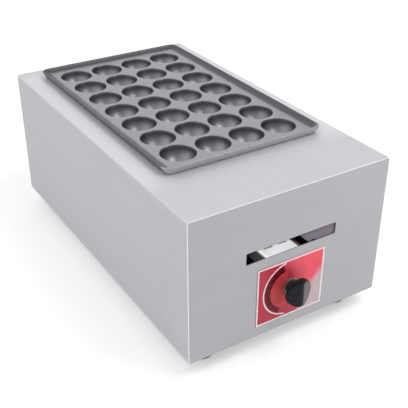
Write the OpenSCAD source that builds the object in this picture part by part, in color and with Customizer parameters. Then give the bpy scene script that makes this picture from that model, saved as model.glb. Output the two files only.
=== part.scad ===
// Gas takoyaki maker: one cast pan of round cups on a folded stainless casing.
// The origin is on the floor under the middle of the casing, +Z is up and the
// front, with the knob, faces -Y.

/* [Casing] */
// Width of the casing
body_w = 240; // [232:1:280]
// Depth of the casing, front to back
body_d = 420; // [410:1:460]
// Height of the sheet metal, without the feet
body_h = 163; // [158:1:200]
// Thickness of the sheet metal
sheet_t = 1; // [0.8:0.1:1.2]
// Outside radius of the folded edges
bend_r = 3; // [2.2:0.1:5]
// Height of the rubber feet below the casing
foot_h = 20; // [16:1:26]

/* [Lighting slot] */
// Width of the slot in the front panel
slot_w = 110; // [60:1:140]
// Height of the slot
slot_h = 13.5; // [8:0.5:18]
// Distance from the top of the casing down to the middle of the slot
slot_drop = 63; // [55:1:68]

/* [Cast pan] */
// Diameter of one cup
cup_d = 38; // [34:0.5:38]
// Distance between the middles of two cups
cup_pitch = 42; // [42:0.5:42]
// Wall of a cup and of the floor
cup_wall = 3.5; // [3:0.1:4]
// Height of the pan's floor above the casing
floor_h = 4.5; // [4:0.1:6]
// Height of the pan's rim above the casing
rim_h = 8.5; // [8:0.1:12]
// How far the rim leans out between its foot and its top
rim_flare = 4; // [2:0.5:5]
// How far the pan's middle lies to the right of the casing's middle
pan_x = 1; // [-1:0.5:1]
// How far the pan's middle lies behind the casing's middle
pan_y = 30; // [26:1:34]

/* [Burner] */
// Width of the burner bar
bar_w = 43; // [36:1:48]
// Height of the burner bar
bar_h = 18; // [16:1:19]
// Distance from the top of the casing down to the top of the bar
bar_drop = 80; // [78:1:81]
// Outside diameter of the mixer tube
mixer_d = 22; // [20:1:24]

/* [Gas control] */
// Distance from the top of the casing down to the valve's axis
valve_drop = 113; // [112:1:118]
// Distance from the top of the casing down to the middle of the label
label_drop = 116; // [113:1:118]
// Diameter of the knob's skirt
knob_d = 31.2; // [28:0.1:36]
// How far the knob and the hose tail stand out from the casing
reach = 21; // [20:0.5:24]
// Travel of the knob when it is pushed in to turn
push_travel = 3.5; // [2:0.5:3.5]
// Sideways place of the gas inlet
inlet_x = 60; // [50:1:70]

/* [Hidden] */

$fn = 48;

// casing
half_w = body_w / 2;
half_d = body_d / 2;
top_z = foot_h + body_h;
in_w = half_w - sheet_t;            // inner face of the side walls
flange = 12;                        // depth of the panels' turned-in flanges
plate_z = foot_h + sheet_t;         // underside of the bottom plate
relief = 6;                         // corner cut at the ends of a folded flange
side_return = 15;                   // width of the casing's bottom returns

// pan
cup_r = cup_d / 2;
cup_cols = 4;
cup_rows = 7;
rim_foot_r = 6;                     // corner radius of the rim where it meets the casing
rim_cx = cup_pitch * (cup_cols - 1) / 2 + cup_r + 5;
rim_cy = cup_pitch * (cup_rows - 1) / 2 + cup_r + 5;
cove_r = 9.2;                       // radius of the hollow between floor and rim
opening_x = rim_cx + 2;             // half-width of the casing's cut-out
opening_y = rim_cy + 2;
collar_h = 8;                       // depth of the cut-out's turned-down edge
step_gap = 0.8;                     // play of the pan in the cut-out

// burner
valve_z = top_z - valve_drop;       // the valve and the mixer share one axis
bar_top = top_z - bar_drop;
bar_z = bar_top - bar_h;
bar_wall = 1.2;
bar_y0 = -half_d + 12.5;
bar_y1 = bar_y0 + 366;
mixer_r = mixer_d / 2;
mixer_wall = 1.5;
elbow_r = bar_z - valve_z;          // middle radius of the elbow under the bar
elbow_y = 20;                       // where the elbow rises into the bar
mouth_y0 = -half_d + 64;            // closed end of the mixer, round the injector
mouth_y1 = mouth_y0 + 30;
mouth_r = 12.5;
throat_y = mouth_y1 + 26;
throat_r = 8;
shutter_gap = 0.1;
shutter_wall = 1.2;
window_w = 11;                      // width of the air windows
bracket_t = 1.5;
bracket_half = 31.5;                // half-width over a bracket's legs
bracket_len = 16;
foot_tab = 12;
bracket_ys = [-half_d + 52, half_d - 70];

// gas control: distances along Y from the outer face of the front panel
face_y = -half_d;
label_t = 0.5;
neck_r = 7;
neck_out = 5;                       // length of the bonnet's neck outside the panel
hole_r = neck_r + 0.3;
nut_t = 3;
nut_flats = 17;
stem_r = 4;
stem_play = 0.05;
flat_depth = 1.5;                   // flat of the D-shaped end of the stem
collar_r = 6;
bonnet_r = 16;
barrel_r = 11;
plug_r0 = 7.5;
plug_r1 = 6.5;
plug_play = 0.1;
plug_y = face_y + 14;
plug_len = 20.6;
plug_slot = 8.9;                    // depth of the plug's slot
tang_w = 3;
bonnet_screw_x = 13;
knob_back = neck_out + 0.5 + push_travel;  // gap between the casing and the knob's hub
flat_len = reach - knob_back - 2.8;        // length of the stem inside the knob
boss_y = face_y + 28;               // middle of the valve's side inlet

// pipe and inlet
pipe_r = 4;
pipe_bore = 3;
pipe_bend = 14;
thread_r = 6;
back_y = half_d;
inlet_neck_r = 6.5;
inlet_flats = 19;                   // hose fitting and its lock nut
locknut_t = 5;
tail_r = 4.75;
tail_len = 12;

// feet
foot_x = 88;
foot_y = 180;
foot_top_r = 15.5;
foot_low_r = 13.5;

// points of an arc, both ends included
function arc(x, y, r, a0, a1, n = 6) =
    [for (i = [0:n]) let (a = a0 + (a1 - a0) * i / n) [x + r * cos(a), y + r * sin(a)]];

// outline of a rectangle with round corners, by its half-sizes
function round_rect(hx, hy, r, n = 6) = concat(
    arc(hx - r, hy - r, r, 0, 90, n), arc(-hx + r, hy - r, r, 90, 180, n),
    arc(-hx + r, -hy + r, r, 180, 270, n), arc(hx - r, -hy + r, r, 270, 360, n));

module along_x() rotate([0, 90, 0]) children();
module along_y() rotate([-90, 0, 0]) children();

// round bar from y0 to y1 on the valve's axis
module rod_y(y0, y1, r) translate([0, y0, valve_z]) along_y() cylinder(h = y1 - y0, r = r);

// hexagon bar from y0 to y1 by its width across flats
module hex_y(y0, y1, flats)
    translate([0, y0, valve_z]) along_y() cylinder(h = y1 - y0, d = flats / cos(30), $fn = 6);

module box(low, high) translate(low) cube(high - low);

// a sheet with round corners lying flat, by its half-sizes
module slab(hx, hy, z0, z1, r) translate([0, 0, z0]) linear_extrude(z1 - z0)
    polygon(round_rect(hx, hy, r));

// outline of the folded casing seen from the front: a U upside down, returns at its foot
module casing_outline() {
    low_r = 1.8;
    outer = concat(
        arc(half_w - bend_r, top_z - bend_r, bend_r, 0, 90),
        arc(-half_w + bend_r, top_z - bend_r, bend_r, 90, 180),
        arc(-half_w + low_r, foot_h + low_r, low_r, 180, 270, 4));
    inner = concat(
        arc(-in_w + low_r - sheet_t, plate_z + low_r - sheet_t, low_r - sheet_t, 270, 180, 4),
        arc(-half_w + bend_r, top_z - bend_r, bend_r - sheet_t, 180, 90),
        arc(half_w - bend_r, top_z - bend_r, bend_r - sheet_t, 90, 0),
        arc(in_w - low_r + sheet_t, plate_z + low_r - sheet_t, low_r - sheet_t, 0, -90, 4));
    lip_x = half_w - side_return;
    polygon(concat(outer, [[-lip_x, foot_h], [-lip_x, plate_z]], inner,
        [[lip_x, plate_z], [lip_x, foot_h]],
        arc(half_w - low_r, foot_h + low_r, low_r, 270, 360, 4)));
}

module casing() color("silver") difference() {
    union() {
        difference() {
            translate([0, half_d, 0]) rotate([90, 0, 0]) linear_extrude(body_d) casing_outline();
            translate([pan_x, pan_y, 0])
                slab(opening_x + sheet_t / 2, opening_y + sheet_t / 2, top_z - 5, top_z + 1, 2.5);
        }
        translate([pan_x, pan_y, 0]) difference() {
            slab(opening_x + sheet_t, opening_y + sheet_t, top_z - collar_h, top_z, 3);
            slab(opening_x, opening_y, top_z - collar_h - 1, top_z + 1, 2);
        }
    }
    // corner reliefs of the bottom returns, where the panels' flanges sit
    for (sy = [-1, 1])
        translate([0, sy * half_d, foot_h])
            cube([2 * in_w, 2 * relief, 2 * sheet_t], center = true);
    for (p = return_screws()) translate([p[0], p[1], foot_h - 1]) cylinder(h = 3, r = 2.1);
}

function return_screws() = [for (sx = [-1, 1], y = [-150, 0, 150]) [sx * (half_w - 9), y]];
function flange_screws() = [for (sx = [-1, 1], sy = [-1, 1]) [sx * 60, sy * (half_d - 7)]];

// one end panel: a sheet inside the casing with its four edges turned inwards
module end_panel() {
    hz = (top_z - sheet_t - foot_h) / 2;
    cz = foot_h + hz;
    difference() {
        translate([0, face_y, cz]) along_y() linear_extrude(flange)
            polygon(round_rect(in_w, hz, bend_r - sheet_t));
        translate([0, face_y + sheet_t, cz]) along_y() linear_extrude(flange)
            polygon(round_rect(in_w - sheet_t, hz - sheet_t, 1.2));
        // corners cut out where two flanges would meet
        for (sx = [-1, 1], sz = [-1, 1])
            translate([sx * in_w, face_y + sheet_t + flange / 2, cz + sz * hz])
                cube([2 * side_return + 2, flange, 8], center = true);
        for (p = flange_screws()) translate([p[0], p[1], foot_h - 1]) cylinder(h = 3, r = 2.1);
    }
}

module front_panel() color("silver") difference() {
    end_panel();
    translate([0, face_y - 1, top_z - slot_drop]) along_y() linear_extrude(3)
        polygon(round_rect(slot_w / 2, slot_h / 2, 1.5, 4));
    rod_y(face_y - 1, face_y + 3, hole_r);
}

module back_panel() color("silver") difference() {
    mirror([0, 1, 0]) end_panel();
    translate([inlet_x, 0, 0]) rod_y(back_y - 3, back_y + 1, inlet_neck_r + 0.3);
    // vent slots, two rows of five
    for (row = [0, 1], i = [-2:2])
        translate([i * 40, back_y - 3, top_z - 34 - row * 20]) along_y() linear_extrude(5)
            polygon(round_rect(13, 2.5, 2.5, 5));
}

module bottom_plate() color("gainsboro") difference() {
    slab(in_w - 1.2, half_d - 1.3, plate_z, plate_z + sheet_t, 2);
    // air slots under the burner
    for (sx = [-1, 1], i = [-3:3])
        translate([sx * 58, i * 40, plate_z - 1]) linear_extrude(3)
            polygon(round_rect(14, 5, 5, 6));
    for (sx = [-1, 1], sy = [-1, 1])
        translate([sx * foot_x, sy * foot_y, plate_z - 1]) cylinder(h = 3, r = 2.7);
    for (p = concat(return_screws(), flange_screws(), bracket_holes()))
        translate([p[0], p[1], plate_z - 1]) cylinder(h = 3, r = 1.8);
}

// inner side wall of the fire space, with a flange at its head and its foot
module heat_shield(side) color("lightslategray") {
    web_x = 96;
    web = web_x + sheet_t;
    z0 = plate_z + sheet_t;
    z1 = top_z - sheet_t;
    scale([side, 1, 1]) difference() {
        union() {
            box([web_x, -half_d + 42, z0], [web, half_d - 20, z1]);
            box([web_x, -half_d + 42, z0], [web + 12, half_d - 20, z0 + sheet_t]);
            box([web_x, -half_d + 42, z1 - sheet_t], [web + 14, half_d - 20, z1]);
        }
        // air holes low in the web
        for (i = [-3:3]) translate([web_x - 1, i * 45, z0 + 22]) along_x()
            cylinder(h = 3, r = 6);
    }
}
module heat_shield_left() heat_shield(-1);
module heat_shield_right() heat_shield(1);

module burner_bar() color("gainsboro") {
    mid = (bar_y0 + bar_y1) / 2;
    half = (bar_y1 - bar_y0) / 2;
    slit_pitch = 7.5;
    slits = 46;
    difference() {
        translate([0, bar_y0, bar_z + bar_h / 2]) along_y() linear_extrude(2 * half)
            polygon(round_rect(bar_w / 2, bar_h / 2, 4));
        translate([0, bar_y0 + bar_wall, bar_z + bar_h / 2]) along_y()
            linear_extrude(2 * (half - bar_wall))
            polygon(round_rect(bar_w / 2 - bar_wall, bar_h / 2 - bar_wall, 4 - bar_wall));
        // flame slits, two rows
        for (sx = [-1, 1], i = [0:slits - 1])
            translate([sx * 9, mid + (i - (slits - 1) / 2) * slit_pitch, bar_top])
                cube([11, 1.4, 4], center = true);
        translate([0, elbow_y, bar_z - 1]) cylinder(h = 3, r = mixer_r);
    }
}

// revolved mixer: closed mouth, narrow throat, widening tail; then the elbow
module mixer_tube() color("darkgray") difference() {
    union() {
        mixer_revolve([
            [mouth_y0, 0], [mouth_y0, mouth_r], [mouth_y1, mouth_r],
            [throat_y, throat_r + mixer_wall], [throat_y + 8, throat_r + mixer_wall],
            [elbow_y - elbow_r - 14, mixer_r], [elbow_y - elbow_r, mixer_r],
            [elbow_y - elbow_r, 0]]);
        elbow(mixer_r);
    }
    mixer_revolve([
        [mouth_y0 + mixer_wall, 0], [mouth_y0 + mixer_wall, mouth_r - mixer_wall],
        [mouth_y1, mouth_r - mixer_wall], [throat_y, throat_r], [throat_y + 8, throat_r],
        [elbow_y - elbow_r - 14, mixer_r - mixer_wall],
        [elbow_y - elbow_r + 0.01, mixer_r - mixer_wall], [elbow_y - elbow_r + 0.01, 0]]);
    elbow(mixer_r - mixer_wall);
    rod_y(mouth_y0 - 1, mouth_y0 + 3, 6.1);
    air_windows(mouth_r + 1);
}

// solid turned on the valve's axis from [y, radius] points
module mixer_revolve(points) translate([0, 0, valve_z]) along_y()
    rotate_extrude() polygon([for (p = points) [p[1], p[0]]]);

module elbow(r) {
    translate([0, elbow_y - elbow_r, bar_z]) rotate([90, 0, 90])
        rotate([0, 0, -90]) rotate_extrude(angle = 90) translate([elbow_r, 0]) circle(r);
    translate([0, elbow_y, bar_z]) cylinder(h = bar_wall, r = r);
}

// two air windows, top and bottom of the mixer's mouth
module air_windows(r) for (a = [0, 180])
    translate([0, mouth_y0 + 15, valve_z]) rotate([0, a, 0])
        translate([0, 0, r / 2 + 3]) cube([window_w, 16, r], center = true);

module air_shutter() color("silver") difference() {
    bore = mouth_r + shutter_gap;
    rod_y(mouth_y0 + 4, mouth_y0 + 26, bore + shutter_wall);
    rod_y(mouth_y0 + 3, mouth_y0 + 27, bore);
    air_windows(mouth_r + 4);
    translate([-bore - 3, mouth_y0 + 15, valve_z]) along_x() cylinder(h = 6, r = 1.25);
}

module shutter_screw() color("dimgray") {
    tip = -(mouth_r + shutter_gap);
    difference() {
        union() {
            translate([tip - 5.2, mouth_y0 + 15, valve_z]) along_x() cylinder(h = 5.2, r = 1.25);
            translate([tip - 5.2, mouth_y0 + 15, valve_z]) along_x() cylinder(h = 4, r = 3.2);
        }
        translate([tip - 5.2, mouth_y0 + 15, valve_z]) cube([1.6, 0.8, 7], center = true);
    }
}

// folded bracket that carries the bar: two legs, a bridge and two foot tabs
module burner_bracket(y) color("darkgray") translate([0, y, 0]) difference() {
    z0 = plate_z + sheet_t;
    reach_x = bracket_half + foot_tab;
    hy = bracket_len / 2;
    union() {
        box([-bracket_half, -hy, bar_z - bracket_t], [bracket_half, hy, bar_z]);
        for (sx = [-1, 1]) scale([sx, 1, 1]) {
            box([bracket_half - bracket_t, -hy, z0], [bracket_half, hy, bar_z]);
            box([bracket_half - bracket_t, -hy, z0], [reach_x, hy, z0 + bracket_t]);
        }
    }
    for (sx = [-1, 1]) translate([sx * (bracket_half + 6), 0, z0 - 1])
        cylinder(h = 4, r = 2.1);
}
module bracket_front() burner_bracket(bracket_ys[0]);
module bracket_rear() burner_bracket(bracket_ys[1]);
function bracket_holes() = [for (sx = [-1, 1], y = bracket_ys) [sx * (bracket_half + 6), y]];

// cross-slotted pan head with its shank, head down at the origin
module pan_screw(shank_r, head_r, head_h, length) difference() {
    union() {
        cylinder(h = length, r = shank_r);
        rotate_extrude() polygon(concat([[0, 0], [head_r, 0]],
            arc(head_r - head_h * 0.8, -head_h * 0.2, head_h * 0.8, 0, -90, 4),
            [[0, -head_h]]));
    }
    for (a = [0, 90]) rotate([0, 0, a]) translate([0, 0, -head_h])
        cube([head_r * 1.2, 0.8, head_h], center = true);
}

module bracket_screws() color("dimgray") for (p = bracket_holes())
    translate([p[0], p[1], plate_z]) pan_screw(1.75, 3.6, 2.2, 7);

module bottom_screws() color("dimgray") for (p = concat(return_screws(), flange_screws()))
    translate([p[0], p[1], foot_h]) pan_screw(1.75, 3.6, 2.2, 6);

module valve_body() color("darkkhaki") {
    y0 = face_y + 8;
    difference() {
        union() {
            rod_y(y0, y0 + 4, bonnet_r);
            rod_y(y0 + 4, y0 + 36, barrel_r);
            rod_y(y0 + 36, y0 + 46, neck_r);
            // side inlet with its threaded end
            translate([0, boss_y, valve_z]) along_x() cylinder(h = 19, r = 8);
            translate([0, boss_y, valve_z]) along_x() cylinder(h = 26, r = thread_r);
        }
        rod_y(y0 - 1, y0 + 6, plug_r0 + 0.6);
        mixer_revolve([[y0 + 5, 0], [y0 + 5, plug_r0 + plug_play],
            [y0 + 27, plug_r1 + plug_play], [y0 + 27, 0]]);
        rod_y(y0 + 26, y0 + 47, 2);
        translate([0, boss_y, valve_z]) along_x() cylinder(h = 27, r = 2.5);
        for (sx = [-1, 1]) translate([sx * bonnet_screw_x, 0, 0]) rod_y(y0 - 1, y0 + 5, 1.6);
    }
}

module valve_bonnet() color("darkkhaki") {
    y1 = face_y + 8;
    difference() {
        union() {
            rod_y(face_y - neck_out, face_y + sheet_t, neck_r);
            rod_y(face_y + sheet_t, y1 - 3, 9.5);
            rod_y(y1 - 3, y1, bonnet_r);
        }
        rod_y(face_y - neck_out - 1, y1 + 1, stem_r + stem_play);
        rod_y(y1 - 4, y1 + 1, collar_r + 0.3);
        for (sx = [-1, 1]) translate([sx * bonnet_screw_x, 0, 0]) rod_y(y1 - 4, y1 + 1, 1.6);
    }
}

module bonnet_screws() color("dimgray") for (sx = [-1, 1])
    translate([sx * bonnet_screw_x, face_y + 5, valve_z]) along_y() pan_screw(1.5, 2.6, 2, 7);

// tapered plug that the stem turns: gas way across and along, slot for the tang
module valve_plug() color("goldenrod") difference() {
    mixer_revolve([[plug_y, 0], [plug_y, plug_r0 - 0.05], [plug_y + plug_len, plug_r1 + 0.02],
        [plug_y + plug_len, 0]]);
    translate([-tang_w / 2 - 0.1, plug_y - 1, valve_z - 8])
        cube([tang_w + 0.2, plug_slot + 1, 16]);
    rod_y(plug_y + 12, plug_y + 22, 2);
    translate([0, boss_y, valve_z]) along_x() cylinder(h = 10, r = 1.9);
}

// stem: D-shaped end in the knob, collar under the bonnet, tang that slides in the plug
module valve_stem() color("lightgray") {
    y_tip = face_y - knob_back - flat_len;
    y_neck = plug_y - 0.3 - push_travel;
    y_end = plug_y + plug_slot - 0.6 - push_travel;
    difference() {
        union() {
            rod_y(y_tip, face_y + 4.3, stem_r);
            rod_y(face_y + 4.1, face_y + 6.1, collar_r);
            rod_y(face_y + 6.1, y_neck, 3);
            box([-tang_w / 2, y_neck - 1, valve_z - 4.5], [tang_w / 2, y_end, valve_z + 4.5]);
        }
        // flat of the D-shaped end
        translate([-stem_r, y_tip - 1, valve_z + stem_r - flat_depth])
            cube([2 * stem_r, flat_len + 1, stem_r]);
    }
}

module valve_nut() color("silver") difference() {
    hex_y(face_y - label_t - nut_t, face_y - label_t, nut_flats);
    rod_y(face_y - label_t - nut_t - 1, face_y, neck_r);
}

// knob: hub, round skirt and tapered body, with two sloping flats that leave a bar;
// drawn with its hub's back at the origin and its face up
module knob() color([0.08, 0.08, 0.09]) {
    depth = reach - knob_back;
    skirt_r = knob_d / 2;
    hub_r = 11;
    hub_len = 4;
    body_h0 = hub_len + 2;
    body_r = skirt_r - 0.5;
    face_r = body_r - 0.7;
    edge = 1;
    bar_half = 2;
    bar_slope = 23;
    socket = flat_len + 0.3;
    translate([0, face_y - knob_back, valve_z]) rotate([90, 0, 0]) difference() {
        union() {
            cylinder(h = hub_len + 0.5, r = hub_r);
            rotate_extrude($fn = 72) polygon([[0, hub_len], [skirt_r - 0.5, hub_len],
                [skirt_r, hub_len + 0.5], [skirt_r, body_h0 - 0.6],
                [skirt_r - 0.6, body_h0], [0, body_h0]]);
            difference() {
                rotate_extrude($fn = 72) polygon(concat([[0, hub_len + 1],
                    [body_r, hub_len + 1], [body_r, body_h0]],
                    arc(face_r - edge, depth - edge, edge, 12, 90, 4), [[0, depth]]));
                for (a = [0, 180]) rotate([0, 0, a]) translate([bar_half, -knob_d, depth])
                    rotate([0, bar_slope, 0]) cube([knob_d, 2 * knob_d, depth]);
            }
        }
        // D-shaped socket for the stem
        difference() {
            translate([0, 0, -1]) cylinder(h = socket + 1, r = stem_r + stem_play);
            translate([-stem_r - 1, stem_r - flat_depth + stem_play, 1])
                cube([2 * stem_r + 2, stem_r, socket]);
        }
    }
}

module injector() color("gold") {
    y0 = face_y + 54;
    difference() {
        union() {
            hex_y(y0, y0 + 7, 11);
            mixer_revolve([[y0 + 7, 0], [y0 + 7, 5], [y0 + 13, 5], [y0 + 18, 2.2],
                [y0 + 18, 0]]);
        }
        rod_y(y0 - 1, y0 + 13, 2);
        rod_y(y0 + 12, y0 + 19, 0.5);
    }
}

// pipe nut on a thread: the wide bore goes over the thread, the narrow one over the pipe
module pipe_nut() difference() {
    cylinder(h = 14, d = 17 / cos(30), $fn = 6);
    translate([0, 0, -1]) cylinder(h = 9, r = thread_r);
    translate([0, 0, 7]) cylinder(h = 8, r = pipe_r);
}

pipe_x0 = 26;
pipe_y1 = half_d - 26;

module pipe_nut_front() color("goldenrod")
    translate([pipe_x0 - 6.9, boss_y, valve_z]) along_x() pipe_nut();
module pipe_nut_rear() color("goldenrod")
    translate([inlet_x, pipe_y1 + 6.9, valve_z]) rotate([90, 0, 0]) pipe_nut();

module pipe_run(r) {
    translate([pipe_x0, boss_y, valve_z]) along_x()
        cylinder(h = inlet_x - pipe_bend - pipe_x0, r = r);
    translate([inlet_x - pipe_bend, boss_y + pipe_bend, valve_z]) rotate([0, 0, -90])
        rotate_extrude(angle = 90) translate([pipe_bend, 0]) circle(r);
    translate([inlet_x, boss_y + pipe_bend, valve_z]) along_y()
        cylinder(h = pipe_y1 - boss_y - pipe_bend, r = r);
}
module gas_pipe() color("darkgoldenrod") difference() {
    pipe_run(pipe_r);
    pipe_run(pipe_bore);
}

// hose tail: saw-tooth ribs with their crests at one radius, then a tapered nose
module inlet_fitting() color("goldenrod") translate([inlet_x, 0, 0]) {
    y0 = back_y + locknut_t + 0.5;
    ribs = 3;
    crest = 1;
    pitch = (tail_len - crest) / ribs;
    difference() {
        union() {
            rod_y(pipe_y1, back_y - 9, thread_r);
            hex_y(back_y - 9, back_y - sheet_t, inlet_flats);
            rod_y(back_y - sheet_t, y0, inlet_neck_r);
            mixer_revolve(concat([[y0 - 1, 0], [y0 - 1, tail_r - 0.4]],
                [for (i = [0:ribs], p = [[0, 0.4], [0, 0], [crest, 0]])
                    [y0 + i * pitch + p[0], tail_r - p[1]]],
                [[back_y + reach, tail_r - 0.85], [back_y + reach, 0]]));
        }
        rod_y(pipe_y1 - 1, back_y + reach + 1, pipe_bore);
    }
}
module inlet_locknut() color("silver") translate([inlet_x, 0, 0]) difference() {
    hex_y(back_y, back_y + locknut_t, inlet_flats);
    rod_y(back_y - 1, back_y + locknut_t + 1, inlet_neck_r);
}

module label_plate() color("crimson") difference() {
    translate([1, face_y - label_t, top_z - label_drop]) along_y() linear_extrude(label_t)
        polygon(round_rect(42, 35, 1.5, 4));
    rod_y(face_y - 2, face_y + 1, hole_r);
}

// rubber foot, wider at its head, hollow below for the screw head
module foot(sx, sy) color([0.12, 0.12, 0.12]) translate([sx * foot_x, sy * foot_y, 0])
    rotate_extrude() polygon([[2.7, 9], [6, 9], [6, 0], [foot_low_r - 1, 0],
        [foot_low_r, 1], [foot_top_r, plate_z - 2], [foot_top_r, plate_z], [2.7, plate_z]]);
module foot_front_left() foot(-1, -1);
module foot_front_right() foot(1, -1);
module foot_rear_left() foot(-1, 1);
module foot_rear_right() foot(1, 1);

module foot_screws() color("dimgray") for (sx = [-1, 1], sy = [-1, 1])
    translate([sx * foot_x, sy * foot_y, 9]) pan_screw(2.5, 5, 3, plate_z - 9 + 6);

module foot_nuts() color("dimgray") for (sx = [-1, 1], sy = [-1, 1])
    translate([sx * foot_x, sy * foot_y, plate_z + sheet_t]) difference() {
        cylinder(h = 4, d = 8 / cos(30), $fn = 6);
        translate([0, 0, -1]) cylinder(h = 6, r = 2.5);
    }

// section of the pan's rim, measured outwards from the middle of its corner radius
function rim_section() = concat(
    [[0, 0], [rim_foot_r, 0]],
    arc(rim_foot_r + rim_flare - 0.8, rim_h - 0.8, 0.8, -20, 90, 4),
    arc(0.3, floor_h + cove_r, cove_r, -37.5, -90, 8),
    [[0, floor_h]]);

module rim() {
    for (sx = [-1, 1], sy = [-1, 1]) translate([sx * rim_cx, sy * rim_cy, top_z])
        rotate([0, 0, sx > 0 ? (sy > 0 ? 0 : 270) : (sy > 0 ? 90 : 180)])
            rotate_extrude(angle = 90) polygon(rim_section());
    for (sy = [-1, 1]) translate([0, sy * rim_cy, top_z]) scale([1, sy, 1])
        rim_side(rim_cx);
    for (sx = [-1, 1]) translate([sx * rim_cx, 0, top_z]) rotate([0, 0, -90 * sx])
        rim_side(rim_cy);
}
// straight rim, its foot on the X axis and its wall towards +Y
module rim_side(half) translate([half, 0, 0]) rotate([90, 0, -90])
    linear_extrude(2 * half) scale([-1, 1]) polygon(rim_section());

function cups() = [for (i = [0:cup_cols - 1], j = [0:cup_rows - 1])
    [(i - (cup_cols - 1) / 2) * cup_pitch, (j - (cup_rows - 1) / 2) * cup_pitch]];

// lower part of a ball, from its middle down past the cut
module bowl(r, cut) rotate_extrude() intersection() {
    circle(r);
    translate([0, -r]) square([r, r - cut]);
}

module pan() color("dimgray") translate([pan_x, pan_y, 0]) difference() {
    union() {
        rim();
        box([-rim_cx, -rim_cy, top_z], [rim_cx, rim_cy, top_z + floor_h]);
        // step that locates the pan in the cut-out
        slab(opening_x - step_gap, opening_y - step_gap, top_z - 1.5, top_z + 1, 2);
        for (c = cups()) translate([c[0], c[1], top_z + floor_h])
            bowl(cup_r + cup_wall, 2);
    }
    for (c = cups()) translate([c[0], c[1], top_z + floor_h]) {
        bowl(cup_r, 0);
        // rounded-off lip
        translate([0, 0, -0.9]) cylinder(h = 1, r1 = cup_r - 0.3, r2 = cup_r + 0.7);
    }
}

casing();
front_panel();
back_panel();
bottom_plate();
heat_shield_left();
heat_shield_right();
burner_bar();
mixer_tube();
air_shutter();
shutter_screw();
bracket_front();
bracket_rear();
bracket_screws();
valve_body();
valve_bonnet();
bonnet_screws();
valve_plug();
valve_stem();
valve_nut();
knob();
injector();
pipe_nut_front();
gas_pipe();
pipe_nut_rear();
inlet_fitting();
inlet_locknut();
label_plate();
foot_front_left();
foot_front_right();
foot_rear_left();
foot_rear_right();
foot_screws();
foot_nuts();
bottom_screws();
pan();
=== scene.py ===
"""Looks of the gas takoyaki maker: sheet metal, cast pan, dial, gas fittings and the studio round it."""

import math

import bmesh
import bpy
from mathutils import Matrix, Vector, noise


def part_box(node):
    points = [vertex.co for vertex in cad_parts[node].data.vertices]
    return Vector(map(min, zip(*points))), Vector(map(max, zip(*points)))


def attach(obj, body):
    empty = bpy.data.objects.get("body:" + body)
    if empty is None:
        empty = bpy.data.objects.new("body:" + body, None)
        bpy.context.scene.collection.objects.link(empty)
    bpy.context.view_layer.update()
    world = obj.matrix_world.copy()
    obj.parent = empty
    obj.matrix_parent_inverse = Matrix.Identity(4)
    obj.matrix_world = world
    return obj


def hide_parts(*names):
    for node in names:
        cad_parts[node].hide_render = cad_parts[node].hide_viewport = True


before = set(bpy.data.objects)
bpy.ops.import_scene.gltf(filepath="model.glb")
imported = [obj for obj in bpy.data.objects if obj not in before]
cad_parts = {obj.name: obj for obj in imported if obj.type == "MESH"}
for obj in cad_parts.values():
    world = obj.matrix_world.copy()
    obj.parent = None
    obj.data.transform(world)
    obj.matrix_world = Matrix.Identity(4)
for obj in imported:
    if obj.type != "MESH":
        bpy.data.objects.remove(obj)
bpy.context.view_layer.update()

bl_info = {
    "name": "Takoyaki Maker Looks",
    "version": (1, 0, 0),
    "blender": (4, 5, 0),
    "location": "View3D > Sidebar > Takoyaki",
    "description": "Finishes the sheet metal, cast pan, dial and gas parts of a takoyaki maker",
    "category": "Object",
}

MM = 0.001

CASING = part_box("casing")
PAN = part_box("pan")
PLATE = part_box("label_plate")
TOP_Z = CASING[1].z
DIAL = ((PLATE[0].x + PLATE[1].x) / 2 - 2.3 * MM, (PLATE[0].z + PLATE[1].z) / 2 + 0.6 * MM)


# ------------------------ settings


def length(name, text, value):
    """A length property in metres."""
    return bpy.props.FloatProperty(
        name=name, description=text, default=value, min=0.0, subtype="DISTANCE", unit="LENGTH", precision=5
    )


def colour(name, text, value):
    """A linear colour property."""
    return bpy.props.FloatVectorProperty(
        name=name, description=text, default=value, size=3, min=0.0, max=1.0, subtype="COLOR"
    )


def share(name, text, value):
    """A number from 0 to 1."""
    return bpy.props.FloatProperty(
        name=name, description=text, default=value, min=0.0, max=1.0, subtype="FACTOR"
    )


def turn(name, text, degrees):
    """An angle property, given in degrees."""
    return bpy.props.FloatProperty(
        name=name, description=text, default=math.radians(degrees), subtype="ANGLE", unit="ROTATION"
    )


def watts(name, text, value):
    """The power of a lamp."""
    return bpy.props.FloatProperty(name=name, description=text, default=value, min=0.0, unit="POWER")


class SheetLook(bpy.types.PropertyGroup):
    """Stainless sheet of the casing and the pieces inside it."""

    steel: colour("Steel", "Colour of the casing's bright stainless sheet", (0.556, 0.559, 0.58))
    # Painted light: laid over the casing's top, most of all beside the pan.
    lightened: colour("Lightened steel", "Colour of the casing's top, wiped beside the pan", (0.68, 0.685, 0.705))
    # Painted highlight: the front cut edge coloured near white.
    cut: colour("Cut edge", "Colour of the sheet's bare cut edge in front", (0.90, 0.905, 0.92))
    # Painted shade: a darker copy of the casing steel for the front and back panels.
    panel: colour("Panel steel", "Colour of the two end panels", (0.468, 0.471, 0.492))
    inner: colour("Inner steel", "Colour of the plain sheet inside", (0.44, 0.44, 0.45))
    shield: colour("Shield steel", "Colour of the heat-tinted shields", (0.355, 0.315, 0.375))
    burner: colour("Burner", "Colour of the aluminised burner bar", (0.84, 0.84, 0.86))
    # Painted shade on the burner bar's sides.
    side_shade: colour("Side shade", "Colour of the burner bar's darkened sides", (0.06, 0.058, 0.06))
    gloss: share("Roughness", "Roughness of the bright sheet", 0.6)
    grain: share("Grain", "Depth of the brushed grain", 0.06)
    edge: length("Edge", "Rounding of a cut or folded edge", 0.25 * MM)


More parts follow.
